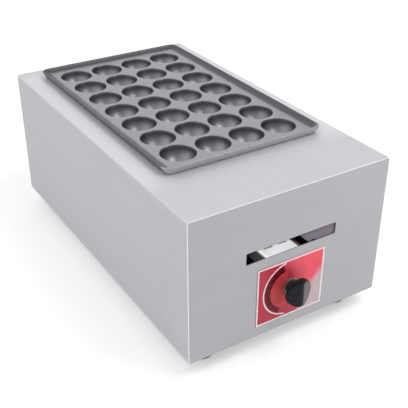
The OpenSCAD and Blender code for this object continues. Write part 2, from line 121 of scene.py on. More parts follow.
class PanLook(bpy.types.PropertyGroup):
    """The cast pan and its cups."""

    iron: colour("Iron", "Colour of the casting", (0.272, 0.274, 0.29))
    # Painted light: lifts the rim's outer wall out of the shade under its flare.
    brightened: colour("Brightened iron", "Colour of the rim's rubbed front wall", (0.60, 0.605, 0.63))
    seasoned: colour("Seasoned", "Colour of the seasoned inside of a cup", (0.24, 0.242, 0.26))
    # Partly charred grease, partly painted shade: used for the ring below each lip and the painted shade on
    # the rim.
    char_and_shade: colour("Shade and char", "Colour of the burnt-on grease in the cups and round the rim", (0.06, 0.06, 0.068))
    soot: colour("Soot", "Colour of the soot on the underside", (0.02, 0.019, 0.018))
    cup: length("Cup", "Diameter of a cup", 38 * MM)
    pitch: length("Pitch", "Distance between the middles of two cups", 42 * MM)
    lip: length("Lip", "Rounding of a cup's lip", 1.0 * MM)
    wall: length("Wall", "Thickness of a cup's wall", 3.5 * MM)
    floor: length("Floor", "Height of the cooking floor over the casing", 4.5 * MM)
    cove: length("Cove", "Radius of the hollow between the floor and the rim", 9.2 * MM)
    uneven: length("Unevenness", "How far the casting strays from its true shape", 0.09 * MM)
    gloss: share("Roughness", "Roughness of the casting", 0.42)


class DialLook(bpy.types.PropertyGroup):
    """Label plate, its print and the knob."""

    red: colour("Red", "Ground colour of the plate", (0.50, 0.012, 0.045))
    # Painted highlight: the ground shades into this lighter red towards the upper right.
    light: colour("Light red", "Ground colour towards the upper right", (0.98, 0.085, 0.14))
    # The plate is paler at its lower right corner.
    pale_corner: colour("Pale corner", "Colour of the worn lower right corner", (0.62, 0.50, 0.53))
    dark: colour("Dark red", "Colour of the printed scale", (0.17, 0.0, 0.010))
    flame: colour("Flame", "Colour of the printed flames", (0.07, 0.0, 0.003))
    warm: colour("Orange red", "Colour of the ring round the knob", (0.64, 0.062, 0.07))
    white: colour("White", "Colour of the printed lines", (0.94, 0.84, 0.86))
    black: colour("Knob", "Colour of the knob", (0.009, 0.010, 0.013))
    # Painted light: the grey laid over the knob's right flat.
    paler: colour("Lit knob", "Colour of the knob's thumbed flat", (0.118, 0.098, 0.108))
    ring: length("Ring", "Radius of the printed arc", 31.5 * MM)
    line: length("Line", "Width of the printed lines", 1.5 * MM)
    border: length("Border", "Width of the border", 2.0 * MM)


class GasLook(bpy.types.PropertyGroup):
    """Valve, pipe, screws and feet."""

    brass: colour("Brass", "Colour of the fittings", (0.45, 0.31, 0.13))
    # Painted shade: a much darker copy of the brass for the bonnet behind the knob.
    brass_shade: colour("Shaded brass", "Colour of the valve's bonnet and its neck", (0.11, 0.065, 0.04))
    copper: colour("Copper", "Colour of the pipe", (0.56, 0.25, 0.13))
    zinc: colour("Zinc", "Colour of the plated screws and nuts", (0.44, 0.44, 0.45))
    rubber: colour("Rubber", "Colour of the feet", (0.022, 0.022, 0.024))


class StudioLook(bpy.types.PropertyGroup):
    """Camera, lamps and floor."""

    lens: bpy.props.FloatProperty(
        name="Lens", description="Focal length on a 36 mm sensor", default=67.16, min=1.0, unit="CAMERA"
    )
    eye: bpy.props.FloatVectorProperty(
        name="Eye", description="Place of the camera", default=(-0.4044, -0.6938, 0.5322), size=3,
        subtype="TRANSLATION", unit="LENGTH"
    )
    heading: turn("Heading", "Turn of the view to the right of straight on", 31.98)
    tilt: turn("Tilt", "How far the camera looks down", 30.46)
    sky: share("Sky", "Strength of the surrounding light on matt surfaces", 0.52)
    over: watts("Overhead lamp", "Power of the lamp over the pan", 9.0)
    back: watts("Back lamp", "Power of the large lamp behind", 3.0)
    front: watts("Front lamp", "Power of the low lamp to the right of the knob", 2.5)
    side: watts("Side lamp", "Power of the lamp on the left", 8.0)
    slot: watts("Slot lamp", "Power of the narrow lamp that shines into the lighting slot", 132.0)
    floor: share("Floor", "Brightness of the floor", 0.82)


SETTINGS = {
    "tako_sheet": SheetLook,
    "tako_pan": PanLook,
    "tako_dial": DialLook,
    "tako_gas": GasLook,
    "tako_studio": StudioLook,
}


def settings(name):
    return getattr(bpy.context.scene, "tako_" + name)


# ------------------------ shader helpers


class Tree:
    """Adds nodes to a shader tree and joins their sockets."""

    def __init__(self, tree):
        self.tree = tree

    def add(self, kind, inputs=None, **options):
        node = self.tree.nodes.new("ShaderNode" + kind)
        for name, value in options.items():
            setattr(node, name, value)
        for name, value in (inputs or {}).items():
            self.feed(node.inputs[name], value)
        return node

    def feed(self, socket, value):
        if isinstance(value, bpy.types.NodeSocket):
            self.tree.links.new(value, socket)
        else:
            socket.default_value = value

    def math(self, operation, a, b=0.0):
        return self.add("Math", {0: a, 1: b}, operation=operation).outputs[0]

    def vector(self, operation, a, b):
        return self.add("VectorMath", {0: a, 1: b}, operation=operation).outputs[0]

    def times(self, first, *others):
        """Product of masks and numbers."""
        for other in others:
            first = self.math("MULTIPLY", first, other)
        return first

    def mix(self, factor, a, b):
        """Mixes two colours."""
        return self.add("Mix", {0: factor, 6: a, 7: b}, data_type="RGBA").outputs[2]

    def shades(self, value, tint, low, high):
        """A colour that varies between two shades of itself."""
        return self.mix(value, rgba(scaled(tint, low)), rgba(scaled(tint, high)))

    def coat(self, base, tint, mask, strength=1.0):
        """Lays a plain colour over the base where the mask is 1."""
        return self.mix(mask if strength == 1.0 else self.times(mask, strength), base, rgba(tint))

    def facing(self):
        """The direction that the surface faces, as X, Y and Z."""
        return self.add("SeparateXYZ", {"Vector": self.add("NewGeometry").outputs["Normal"]}).outputs

    def spread(self, value, low, high, to_low=0.0, to_high=1.0):
        """Maps low..high to to_low..to_high."""
        limits = {"From Min": low, "From Max": high, "To Min": to_low, "To Max": to_high}
        return self.add("MapRange", {"Value": value, **limits}).outputs["Result"]

    def noise(self, vector, scale, detail=3.0, rough=0.5):
        inputs = {"Vector": vector, "Scale": scale, "Detail": detail, "Roughness": rough}
        return self.add("TexNoise", inputs).outputs["Fac"]

    def ramp(self, value, stops):
        """Colour ramp over (position, colour) stops."""
        node = self.add("ValToRGB", {"Fac": value})
        elements = node.color_ramp.elements
        while len(elements) < len(stops):
            elements.new(0.5)
        for element, (place, tint) in zip(elements, stops):
            element.position = place
            element.color = rgba(tint)
        return node.outputs["Color"]


def rgba(tint):
    return (*tint, 1.0)


def scaled(tint, k):
    """A colour made lighter or darker."""
    return tuple(min(1.0, c * k) for c in tint)


def effect(name, build, outputs, **inputs):
    """A shader node group with a Vector input, further inputs by default, and number outputs."""
    if name in bpy.data.node_groups:
        return bpy.data.node_groups[name]
    group = bpy.data.node_groups.new(name, "ShaderNodeTree")
    group.interface.new_socket(name="Vector", in_out="INPUT", socket_type="NodeSocketVector")
    for label, default in inputs.items():
        kind = "NodeSocketVector" if isinstance(default, tuple) else "NodeSocketFloat"
        socket = group.interface.new_socket(name=label, in_out="INPUT", socket_type=kind)
        socket.default_value = default
    for label in outputs:
        group.interface.new_socket(name=label, in_out="OUTPUT", socket_type="NodeSocketFloat")
    given = group.nodes.new("NodeGroupInput")
    made = group.nodes.new("NodeGroupOutput")
    tree = Tree(group)
    for label, value in build(tree, given.outputs).items():
        tree.feed(made.inputs[label], value)
    return group


def brushed_grain():
    """Long fine lines along the axis where Stretch is smallest."""

    def build(t, given):
        lines = t.vector("MULTIPLY", given["Vector"], given["Stretch"])
        fine = t.noise(lines, 1.0, 5.0, 0.65)
        broad = t.noise(lines, 0.22, 2.0, 0.5)
        tone = t.math("ADD", t.times(fine, 0.35), t.times(broad, 0.65))
        return {"Tone": tone, "Height": fine}

    return effect("Brushed grain", build, ("Tone", "Height"), Stretch=(400.0, 6.0, 400.0))


def handling_marks():
    """Faint cloudy wipe marks and a few thin scratches."""

    def build(t, given):
        cloud = t.spread(t.noise(given["Vector"], given["Scale"], 4.0, 0.6), 0.42, 0.68)
        bent = t.add("TexNoise", {"Vector": given["Vector"], "Scale": 30.0, "Detail": 1.0}).outputs["Color"]
        where = t.vector("ADD", given["Vector"], t.vector("MULTIPLY", bent, (0.03, 0.03, 0.03)))
        cells = t.add("TexVoronoi", {"Vector": where, "Scale": 42.0}, feature="DISTANCE_TO_EDGE")
        thin = t.spread(cells.outputs["Distance"], 0.0, 0.012, 1.0, 0.0)
        some = t.spread(t.noise(given["Vector"], 17.0, 2.0), 0.56, 0.62)
        return {"Marks": cloud, "Scratches": t.times(thin, some)}

    return effect("Handling marks", build, ("Marks", "Scratches"), Scale=9.0)


def edge_wear():
    """Bright edges from wear and darker concave corners, from how sharply the mesh bends; the darker corners
    are tarnish on turned metal and painted shade elsewhere.
    """

    def build(t, given):
        bend = t.add("NewGeometry").outputs["Pointiness"]
        ragged = t.noise(given["Vector"], 320.0, 3.0)
        outward = t.spread(bend, 0.505, 0.56)
        inward = t.spread(bend, 0.495, 0.44)
        return {"Edge": t.times(outward, t.spread(ragged, 0.3, 0.6)), "Corner": inward}

    return effect("Edge wear", build, ("Edge", "Corner"))


def sheet_edges():
    """Brighter folds and cut edges, where the sheet faces between two axes: a painted highlight, made ragged
    with noise.
    """

    def build(t, given):
        facing = t.facing()
        x, y, z = (t.math("ABSOLUTE", facing[axis]) for axis in "XYZ")
        square = t.math("MAXIMUM", t.math("MAXIMUM", x, y), z)
        ragged = t.spread(t.noise(given["Vector"], 320.0, 3.0), 0.3, 0.6, 0.3, 1.0)
        return {"Edge": t.times(t.spread(square, 0.98, 0.85), ragged)}

    return effect("Sheet edges", build, ("Edge",))


def sand_cast():
    """Sand-cast skin: fine grain over shallow pits."""

    def build(t, given):
        grain = t.noise(given["Vector"], given["Grain"], 4.0, 0.7)
        pits = t.add("TexVoronoi", {"Vector": given["Vector"], "Scale": given["Grain"]}, feature="F1")
        hollow = t.spread(pits.outputs["Distance"], 0.0, 0.35)
        height = t.math("ADD", t.times(grain, 0.6), t.times(hollow, 0.4))
        return {"Height": height, "Tone": t.noise(given["Vector"], 60.0, 5.0, 0.6)}

    return effect("Sand cast skin", build, ("Height", "Tone"), Grain=900.0)


def mottle():
    """Soft irregular variation: Value runs from 0 to 1, and Cloud is the same as plain noise."""

    def build(t, given):
        cloud = t.noise(given["Vector"], given["Scale"], 5.0, 0.55)
        return {"Value": t.spread(cloud, 0.35, 0.65), "Cloud": cloud}

    return effect("Mottle", build, ("Value", "Cloud"), Scale=40.0)


class Surface:
    """A material with one Principled shader, its constants and the object's own coordinates."""

    def __init__(self, name, **constants):
        self.material = bpy.data.materials.new(name)
        self.material.use_nodes = True
        self.tree = Tree(self.material.node_tree)
        self.shader = self.material.node_tree.nodes["Principled BSDF"]
        for label, value in constants.items():
            self.shader.inputs[label.replace("_", " ")].default_value = value
        self.place = self.tree.add("TexCoord").outputs["Object"]

    def use(self, group, **inputs):
        node = self.tree.add("Group")
        node.node_tree = group
        self.tree.feed(node.inputs["Vector"], self.place)
        for label, value in inputs.items():
            self.tree.feed(node.inputs[label], value)
        return node.outputs

    def set(self, label, value):
        self.tree.feed(self.shader.inputs[label], value)

    def dull(self, cloud, low, high):
        """Roughness that follows a cloudy value between two limits."""
        self.set("Roughness", self.tree.spread(cloud, 0.3, 0.7, low, high))

    def bump(self, height, depth, strength):
        """Surface relief, depth in metres."""
        node = self.tree.add("Bump", {"Height": height, "Strength": strength, "Distance": depth})
        self.set("Normal", node.outputs["Normal"])

    def split(self):
        node = self.tree.add("SeparateXYZ", {"Vector": self.place})
        return node.outputs["X"], node.outputs["Y"], node.outputs["Z"]


# ------------------------ materials


LENGTHWAYS = (900.0, 9.0, 900.0)  # stretch of a grain that runs from front to back
CROSSWAYS = (9.0, 900.0, 900.0)
DRAWN = (500.0, 12.0, 500.0)  # lines of a drawn tube
MILL = (60.0, 60.0, 60.0)  # a mill finish has no direction
HEATED = (70.0, 70.0, 70.0)


def brushed_steel(name, tint, roughness, stretch, grain, tinted=None):
    """Stainless sheet. tinted(surface, colour) may lay more over its plain colour."""
    s = Surface(name, Metallic=0.4)
    lines = s.use(brushed_grain(), Stretch=stretch)
    marks = s.use(handling_marks())
    edges = s.use(sheet_edges())
    t = s.tree
    base = t.shades(t.spread(lines["Tone"], 0.35, 0.65), tint, 0.97, 1.03)
    base = t.coat(base, scaled(tint, 0.97), marks["Marks"], 0.3)
    if tinted:
        base = tinted(s, base)
    # Folds and cut edges made lighter: painted highlight.
    s.set("Base Color", t.coat(base, scaled(tint, 1.35), edges["Edge"], 0.6))
    rough = t.spread(lines["Tone"], 0.3, 0.7, roughness - 0.02, roughness + 0.02)
    rough = t.math("ADD", rough, t.times(marks["Marks"], 0.02))
    s.set("Roughness", t.math("SUBTRACT", rough, t.times(marks["Scratches"], 0.06)))
    relief = t.math("SUBTRACT", lines["Height"], t.times(marks["Scratches"], 0.5))
    s.bump(relief, 0.02 * MM, grain)
    return s.material


def past_pan(t, place, axis):
    """How far a coordinate lies outside the pan on either side along an axis, negative inside it."""
    middle = (PAN[0][axis] + PAN[1][axis]) / 2
    half = (PAN[1][axis] - PAN[0][axis]) / 2
    return t.math("SUBTRACT", t.math("ABSOLUTE", t.math("SUBTRACT", place, middle)), half)


def brightening(bright, cut):
    """Painted light on the sheet: the top made lighter, most of all beside the pan, where the rim's shade
    falls, and the front cut edge painted near white as a highlight.
    """
    overlap, clear_of_ends, fade = 15 * MM, 5 * MM, 25 * MM

    def lay(s, base):
        t = s.tree
        x, y, _ = s.split()
        aside = t.spread(past_pan(t, x, 0), -overlap, 0.0)
        beside = t.times(aside, t.spread(past_pan(t, y, 1), -clear_of_ends, fade, 1.0, 0.0))
        facing = t.facing()
        # Painted light: a fifth of the lighter colour over the whole top, all of it beside the pan.
        lightened = t.times(t.spread(beside, 0.0, 1.0, 0.2, 1.0), t.spread(facing["Z"], 0.5, 0.95))
        # Front-facing cut edge in the near-white colour: painted highlight.
        return t.coat(t.coat(base, bright, lightened), cut, t.spread(facing["Y"], -0.4, -0.8))

    return lay


def heat_colours(low, high):
    """Straw to blue temper colours between two heights, strongest at high."""

    def lay(s, base):
        t = s.tree
        height = s.split()[2]
        uneven = t.spread(t.noise(s.place, 14.0, 3.0), 0.3, 0.7, -0.25, 0.25)
        heat = t.math("ADD", t.spread(height, low, high), uneven)
        tint = t.ramp(heat, [
            (0.0, (0.50, 0.49, 0.48)), (0.35, (0.48, 0.40, 0.27)),
            (0.6, (0.30, 0.20, 0.20)), (0.8, (0.17, 0.16, 0.26)), (1.0, (0.24, 0.25, 0.29)),
        ])
        return t.mix(t.times(t.spread(heat, 0.1, 0.9), 0.75), base, tint)

    return lay


def aluminised(look):
    """Hot-dipped sheet: pale spangled coating on top, with painted shade darkening its sides."""
    tint = look.burner
    s = Surface("burner_steel", Metallic=0.15)
    spangle = s.tree.add("TexVoronoi", {"Vector": s.place, "Scale": 350.0}).outputs["Color"]
    cloud = s.use(mottle(), Scale=45.0)
    edges = s.use(edge_wear())
    t = s.tree
    grain = t.add("SeparateColor", {"Color": spangle}).outputs["Red"]
    base = t.shades(grain, tint, 0.95, 1.0)
    base = t.coat(base, scaled(tint, 0.8), cloud["Value"], 0.2)
    # Sides darkened: painted shade.
    base = t.coat(base, look.side_shade, t.spread(t.facing()["Z"], 0.85, 0.4))
    # Concave corners darker: painted shade.
    s.set("Base Color", t.coat(base, scaled(tint, 0.4), edges["Corner"], 0.5))
    s.set("Roughness", t.spread(grain, 0.0, 1.0, 0.38, 0.52))
    s.bump(grain, 0.01 * MM, 0.4)
    return s.material


def cup_tones(t, iron, height, look):
    """Seasoned dark inside the cups, with a dark ring below each lip: partly charred grease, partly painted
    shade.
    """
    floor_z = TOP_Z + look.floor
    lip_foot, ring_top, ring_end = floor_z - 0.8 * MM, floor_z - 3.0 * MM, floor_z - 9.0 * MM
    into_cup = t.spread(height, lip_foot, floor_z - 4.0 * MM)
    iron = t.coat(iron, look.seasoned, into_cup)
    # Dark ring below each lip: partly charred grease, partly painted shade.
    return t.coat(iron, look.char_and_shade, t.times(into_cup, t.spread(height, ring_end, ring_top)), 0.8)


def shaded_rim(s, uneven, above):
    """Mask of the rim's walls at the sides and rear, where painted shade darkens them; the front is left out.
    """
    zone, full, stray = 10.5 * MM, 8.0 * MM, 0.8 * MM
    unshaded, shaded = PAN[0].y + 4.5 * MM, PAN[0].y + 12 * MM
    t = s.tree
    x, y, _ = s.split()
    outline = t.math("MAXIMUM", past_pan(t, x, 0), t.math("SUBTRACT", y, PAN[1].y))
    outline = t.math("ADD", outline, t.spread(uneven, 0.3, 0.7, -stray, stray))
    return t.times(t.spread(outline, -zone, -full), above, t.spread(y, unshaded, shaded))


def cast_iron(look):
    """Grey casting: seasoned cups, soot on the underside, painted light on the rim's front outer wall, and
    painted shade on the rim at the sides and rear.
    """
    s = Surface("cast_pan", Metallic=0.85)
    cast = s.use(sand_cast(), Grain=1100.0)
    edges = s.use(edge_wear())
    t = s.tree
    height = s.split()[2]
    facing = t.facing()["Z"]
    iron = t.shades(t.spread(cast["Tone"], 0.3, 0.7), look.iron, 0.86, 1.14)
    iron = cup_tones(t, iron, height, look)
    below = t.spread(height, TOP_Z - 2.0 * MM, TOP_Z - 9.0 * MM)
    soot = t.times(below, t.spread(facing, 0.0, -0.2))
    iron = t.coat(iron, look.soot, soot, 0.8)
    above = t.spread(height, TOP_Z - 1.0 * MM, TOP_Z + 1.0 * MM)
    # Outer wall of the rim lightened: painted light.
    iron = t.coat(iron, look.brightened, t.times(t.spread(facing, -0.1, -0.4), above), 0.9)
    # Lips and edges lighter: partly wear, partly a painted highlight.
    iron = t.coat(iron, scaled(look.iron, 1.8), edges["Edge"], 0.6)
    # Concave corners darker: painted shade.
    iron = t.coat(iron, scaled(look.iron, 0.45), edges["Corner"], 0.3)
    # Rim at the sides and rear darkened: painted shade.
    s.set("Base Color", t.coat(iron, look.char_and_shade, shaded_rim(s, cast["Tone"], above), 0.8))
    rough = t.spread(cast["Tone"], 0.3, 0.7, look.gloss - 0.07, look.gloss + 0.09)
    s.set("Roughness", t.math("ADD", rough, t.times(soot, 0.35)))
    s.bump(cast["Height"], 0.10 * MM, 0.55)
    return s.material


def printed_enamel(name, tint, roughness):
    """Screen-printed ink with slight unevenness."""
    s = Surface(name, Specular_IOR_Level=0.2)
    ink = s.use(mottle(), Scale=160.0)
    broad = s.use(mottle(), Scale=22.0)
    t = s.tree
    base = t.shades(ink["Value"], tint, 0.90, 1.08)
    s.set("Base Color", t.coat(base, scaled(tint, 0.80), broad["Value"], 0.3))
    s.dull(ink["Cloud"], roughness - 0.05, roughness + 0.09)
    s.bump(ink["Cloud"], 0.01 * MM, 0.5)
    return s.material


def plate_ground(look):
    """Red ground of the label plate: lighter to the upper right as a painted highlight, and paler at the
    lower right.
    """
    s = Surface("plate_red", Coat_Weight=0.08, Coat_Roughness=0.2, Specular_IOR_Level=0.4)
    ink = s.use(mottle(), Scale=160.0)
    broad = s.use(mottle(), Scale=26.0)
    t = s.tree
    x, _, z = s.split()
    across = t.spread(x, PLATE[0].x, PLATE[1].x)
    up = t.spread(z, PLATE[0].z, PLATE[1].z)
    ragged = t.spread(broad["Cloud"], 0.3, 0.7, -0.12, 0.12)
    # Lighter towards the upper right: painted highlight.
    light = t.math("ADD", t.math("ADD", across, t.times(up, 0.3)), ragged)
    base = t.mix(t.spread(light, 0.50, 0.95), rgba(look.red), rgba(look.light))
    # Paler towards the lower right.
    paler = t.math("SUBTRACT", t.math("ADD", across, ragged), t.times(up, 0.72))
    base = t.coat(base, look.pale_corner, t.spread(paler, 0.50, 0.66))
    s.set("Base Color", t.coat(base, look.dark, ink["Value"], 0.15))
    s.dull(ink["Cloud"], 0.32, 0.44)
    s.bump(ink["Cloud"], 0.01 * MM, 0.5)
    return s.material


def lit(paler):
    """The knob's right flat, painted grey in patches as light falling on it."""

    def lay(s, base):
        t = s.tree
        normal = t.add("SeparateXYZ", {"Vector": t.add("TexCoord").outputs["Normal"]}).outputs
        flat = t.times(t.spread(normal["X"], 0.15, 0.33), t.spread(normal["Y"], -0.6, -0.85))
        patchy = t.spread(t.noise(s.place, 160.0, 3.0), 0.25, 0.6, 0.7, 1.0)
        # Right flat painted grey: painted light.
        return t.coat(base, paler, t.times(flat, patchy))

    return lay


def moulded(name, tint, roughness, grain, depth, laid=None, **constants):
    """Moulded plastic or rubber with a fine skin and worn edges. laid(surface, colour) adds to it."""
    s = Surface(name, **constants)
    skin = s.use(mottle(), Scale=grain)
    dust = s.use(mottle(), Scale=35.0)
    edges = s.use(edge_wear())
    t = s.tree
    base = t.shades(skin["Value"], tint, 0.85, 1.15)
    base = t.coat(base, scaled(tint, 2.2), dust["Value"], 0.18)
    if laid:
        base = laid(s, base)
    s.set("Base Color", t.coat(base, scaled(tint, 3.5), edges["Edge"], 0.35))
    s.dull(dust["Cloud"], roughness - 0.06, roughness + 0.1)
    s.bump(skin["Cloud"], depth, 0.5)
    return s.material


def turned_metal(name, tint, roughness, tarnish):
    """Turned or drawn metal with tarnish in its corners."""
    s = Surface(name, Metallic=1.0)
    film = s.use(mottle(), Scale=70.0)
    fine = s.use(mottle(), Scale=600.0)
    edges = s.use(edge_wear())
    t = s.tree
    base = t.shades(fine["Value"], tint, 0.93, 1.06)
    base = t.coat(base, scaled(tint, 0.45), film["Value"], tarnish)
    base = t.coat(base, scaled(tint, 0.3), edges["Corner"], 0.7)
    s.set("Base Color", t.coat(base, scaled(tint, 1.4), edges["Edge"], 0.5))
    s.dull(film["Cloud"], roughness - 0.06, roughness + 0.14)
    s.bump(fine["Cloud"], 0.02 * MM, 0.5)
    return s.material


# ------------------------ mesh helpers


CREASE = math.radians(48)  # a built piece is shaded smooth up to this bend
SAME_POINT = 0.002 * MM  # CAD points closer than this are one
SAME_FACE = math.radians(0.4)  # CAD faces that bend less than this are one
SHARP = math.radians(34)  # CAD edges that bend more than this are rounded
INNER_EDGE = 0.2 * MM  # rounding of inner sheet and turned fittings
FINE_EDGE = 0.12 * MM  # rounding of screws, nuts and the burner bar
MOULD_EDGE = 0.4 * MM  # rounding of moulded pieces


class Rings:
    """A mesh made of rings of points with faces between them."""

    def __init__(self):
        self.points = []
        self.faces = []

    def ring(self, points):
        start = len(self.points)
        self.points.extend(points)
        return list(range(start, len(self.points)))

    def bridge(self, a, b, closed=True):
        n = len(a)
        for i in range(n if closed else n - 1):
            j = (i + 1) % n
            self.faces.append((a[i], a[j], b[j], b[i]))

    def cap(self, ring, point):
        tip = self.ring([point])[0]
        for i, corner in enumerate(ring):
            self.faces.append((corner, ring[(i + 1) % len(ring)], tip))

    def build(self, name, material, weld=1e-6):
        mesh = bpy.data.meshes.new(name)
        mesh.from_pydata([tuple(p) for p in self.points], [], self.faces)
        shape = bmesh.new()
        shape.from_mesh(mesh)
        bmesh.ops.remove_doubles(shape, verts=shape.verts, dist=weld)
        bmesh.ops.dissolve_degenerate(shape, edges=shape.edges, dist=weld)
        bmesh.ops.recalc_face_normals(shape, faces=shape.faces)
        for face in shape.faces:
            face.smooth = True
        shape.to_mesh(mesh)
        shape.free()
        mesh.set_sharp_from_angle(angle=CREASE)
        mesh.materials.append(material)
        made = bpy.data.objects.new(name, mesh)
        bpy.context.scene.collection.objects.link(made)
        return made


def modify(piece, kind, **values):
    """Adds a modifier with its settings."""
    modifier = piece.modifiers.new(kind.lower(), kind)
    for name, value in values.items():
        setattr(modifier, name, value)


def finish_nodes(nodes, material, edge=INNER_EDGE, segments=2):
    """Gives CAD nodes, named in one string, their material, smooth shading and rounded edges."""
    for node in nodes.split():
        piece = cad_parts[node]
        piece.data.materials.clear()
        piece.data.materials.append(material)
        piece.data.polygons.foreach_set("use_smooth", [True] * len(piece.data.polygons))
        modify(piece, "WELD", merge_threshold=SAME_POINT)
        modify(piece, "DECIMATE", decimate_type="DISSOLVE", angle_limit=SAME_FACE)
        modify(piece, "BEVEL", width=edge, segments=segments, limit_method="ANGLE", angle_limit=SHARP)
        modify(piece, "WEIGHTED_NORMAL", weight=100)


# ------------------------ the pan


CELL_SIDES = 64
CELL_ANGLES = [2 * math.pi * i / CELL_SIDES for i in range(CELL_SIDES)]
BOWL_RINGS = 14
LIP_RINGS = 4
UNDER_RINGS = 10
COVE_RINGS = 9
COVE_TURN = 51  # degrees that the cove bends up from the floor
PLATE_UNDER = 1.5 * MM  # underside of the pan's plate below the casing's top
RIM_REACH = 10.05 * MM  # from the rim's corner centres to its outer edge
CORNER_ZONE = 12 * MM  # stretch of the cells' outline that goes round a corner
CAST_SEED = 5  # every run casts the same pan


def cell_edge(half, angle):
    """Point of a square's outline in the direction of an angle."""
    c, s = math.cos(angle), math.sin(angle)
    k = half / max(abs(c), abs(s))
    return c * k, s * k


def bowl_profile(radius, lip):
    """(r, depth) from the lip's outer edge down to just over the bowl's bottom."""
    outer = math.sqrt((radius + lip) ** 2 - lip**2)
    touch = math.atan2(lip, outer)
    points = []
    for i in range(LIP_RINGS):
        a = math.pi / 2 + (math.pi / 2 - touch) * i / LIP_RINGS
        points.append((outer + lip * math.cos(a), -lip + lip * math.sin(a)))
    for i in range(BOWL_RINGS):
        a = touch + (math.pi / 2 - touch) * i / BOWL_RINGS
        points.append((radius * math.cos(a), -radius * math.sin(a)))
    return points


def add_cup(maker, x, y, z, look):
    """Upper side of one cell: the floor round the cup, its lip and its bowl."""
    half = look.pitch / 2
    profile = bowl_profile(look.cup / 2, look.lip)
    outer = profile[0][0]
    edge = [cell_edge(half, a) for a in CELL_ANGLES]
    ring = maker.ring([(x + p[0], y + p[1], z) for p in edge])
    middle = []
    for p, a in zip(edge, CELL_ANGLES):
        r = (math.hypot(*p) + outer) / 2
        middle.append((x + r * math.cos(a), y + r * math.sin(a), z))
    following = [maker.ring(middle)]
    for r, depth in profile:
        circle = [(x + r * math.cos(a), y + r * math.sin(a), z + depth) for a in CELL_ANGLES]
        following.append(maker.ring(circle))
    for nxt in following:
        maker.bridge(ring, nxt)
        ring = nxt
    maker.cap(ring, (x, y, z - look.cup / 2))


def add_bump(maker, x, y, floor_z, under_z, look):
    """Under side of one cell: the outside of the bowl, cut off at the cell's edge."""
    half = look.pitch / 2
    radius = look.cup / 2 + look.wall
    drop = floor_z - under_z
    foot = math.sqrt(radius**2 - drop**2)
    ends = [min(foot, math.hypot(*cell_edge(half, a))) for a in CELL_ANGLES]

    def depth(r):
        return -math.sqrt(radius**2 - r**2)

    outline = []
    for a, end in zip(CELL_ANGLES, ends):
        px, py = cell_edge(half, a)
        pz = under_z if end >= foot - 1e-9 else floor_z + depth(end)
        outline.append((x + px, y + py, pz))
    ring = maker.ring(outline)
    for i in range(UNDER_RINGS):
        k = math.cos(math.pi / 2 * i / UNDER_RINGS)
        nxt = maker.ring([
            (x + end * k * math.cos(a), y + end * k * math.sin(a), floor_z + depth(end * k))
            for a, end in zip(CELL_ANGLES, ends)
        ])
        maker.bridge(nxt, ring)
        ring = nxt
    maker.cap(ring[::-1], (x, y, floor_z - radius))
    return outline


def grid_outline(columns, rows, pitch):
    """Points round the whole grid of cells, the same ones that the cells use."""
    half = pitch / 2
    side = CELL_SIDES // 4
    offsets = [half * math.tan(2 * math.pi * i / CELL_SIDES) for i in range(-side // 2, side // 2)]
    wide, deep = columns * half, rows * half
    bottom = [((i - (columns - 1) / 2) * pitch + o, -deep) for i in range(columns) for o in offsets]
    right = [(wide, (j - (rows - 1) / 2) * pitch + o) for j in range(rows) for o in offsets]
    return bottom + right + [(-x, -y) for x, y in bottom] + [(-x, -y) for x, y in right]


def rim_point(x, y, wide, deep, centre, out):
    """Point of the rim's sweep: out metres from the rectangle of its corner centres."""

    def along(value, limit, target):
        end = limit - CORNER_ZONE
        straight = min(abs(value), end) * target / end
        bend = math.pi / 4 * max(0.0, (abs(value) - end) / CORNER_ZONE)
        return straight, bend

    if abs(abs(y) - deep) < 1e-9:
        run, bend = along(x, wide, centre[0])
        px, py = run + out * math.sin(bend), centre[1] + out * math.cos(bend)
    else:
        run, bend = along(y, deep, centre[1])
        px, py = centre[0] + out * math.cos(bend), run + out * math.sin(bend)
    return math.copysign(px, x), math.copysign(py, y)


def rim_stations(look):
    """(distance from the corner centres, height over the casing) over the rim."""
    rim_top = PAN[1].z - TOP_Z
    start, inner, foot, ledge = 0.3 * MM, 7.5 * MM, 6.0 * MM, 1.2 * MM
    lip_z = rim_top - 0.8 * MM
    stations = [(start, look.floor)]
    for i in range(1, COVE_RINGS + 1):
        a = math.radians(-90 + COVE_TURN * i / COVE_RINGS)
        height = look.floor + look.cove + look.cove * math.sin(a)
        stations.append((start + look.cove * math.cos(a), height))
    stations += [
        (inner + 0.2 * MM, rim_top - 0.10 * MM), (inner + 0.7 * MM, rim_top),
        (RIM_REACH - 1.0 * MM, rim_top), (RIM_REACH - 0.35 * MM, rim_top - 0.15 * MM),
        (RIM_REACH, lip_z),
    ]
    for k in (0.75, 0.5, 0.25):
        stations.append((foot + (RIM_REACH - foot) * k, lip_z * k))
    stations += [(foot + 0.1 * MM, 0.3 * MM), (foot - 0.2 * MM, 0.0), (ledge, 0.0), (ledge, -PLATE_UNDER)]
    return stations


def roughen(points, reach, low, high):
    """Lets a casting stray a little from its true shape, inside its box."""
    noise.seed_set(CAST_SEED)
    moved = []
    for p in points:
        at = Vector(p)
        soft = noise.noise_vector(at * 55.0) * reach
        fine = noise.noise_vector(at * 240.0) * reach * 0.35
        at = at + soft + fine
        moved.append([min(max(at[i], low[i]), high[i]) for i in range(3)])
    return moved


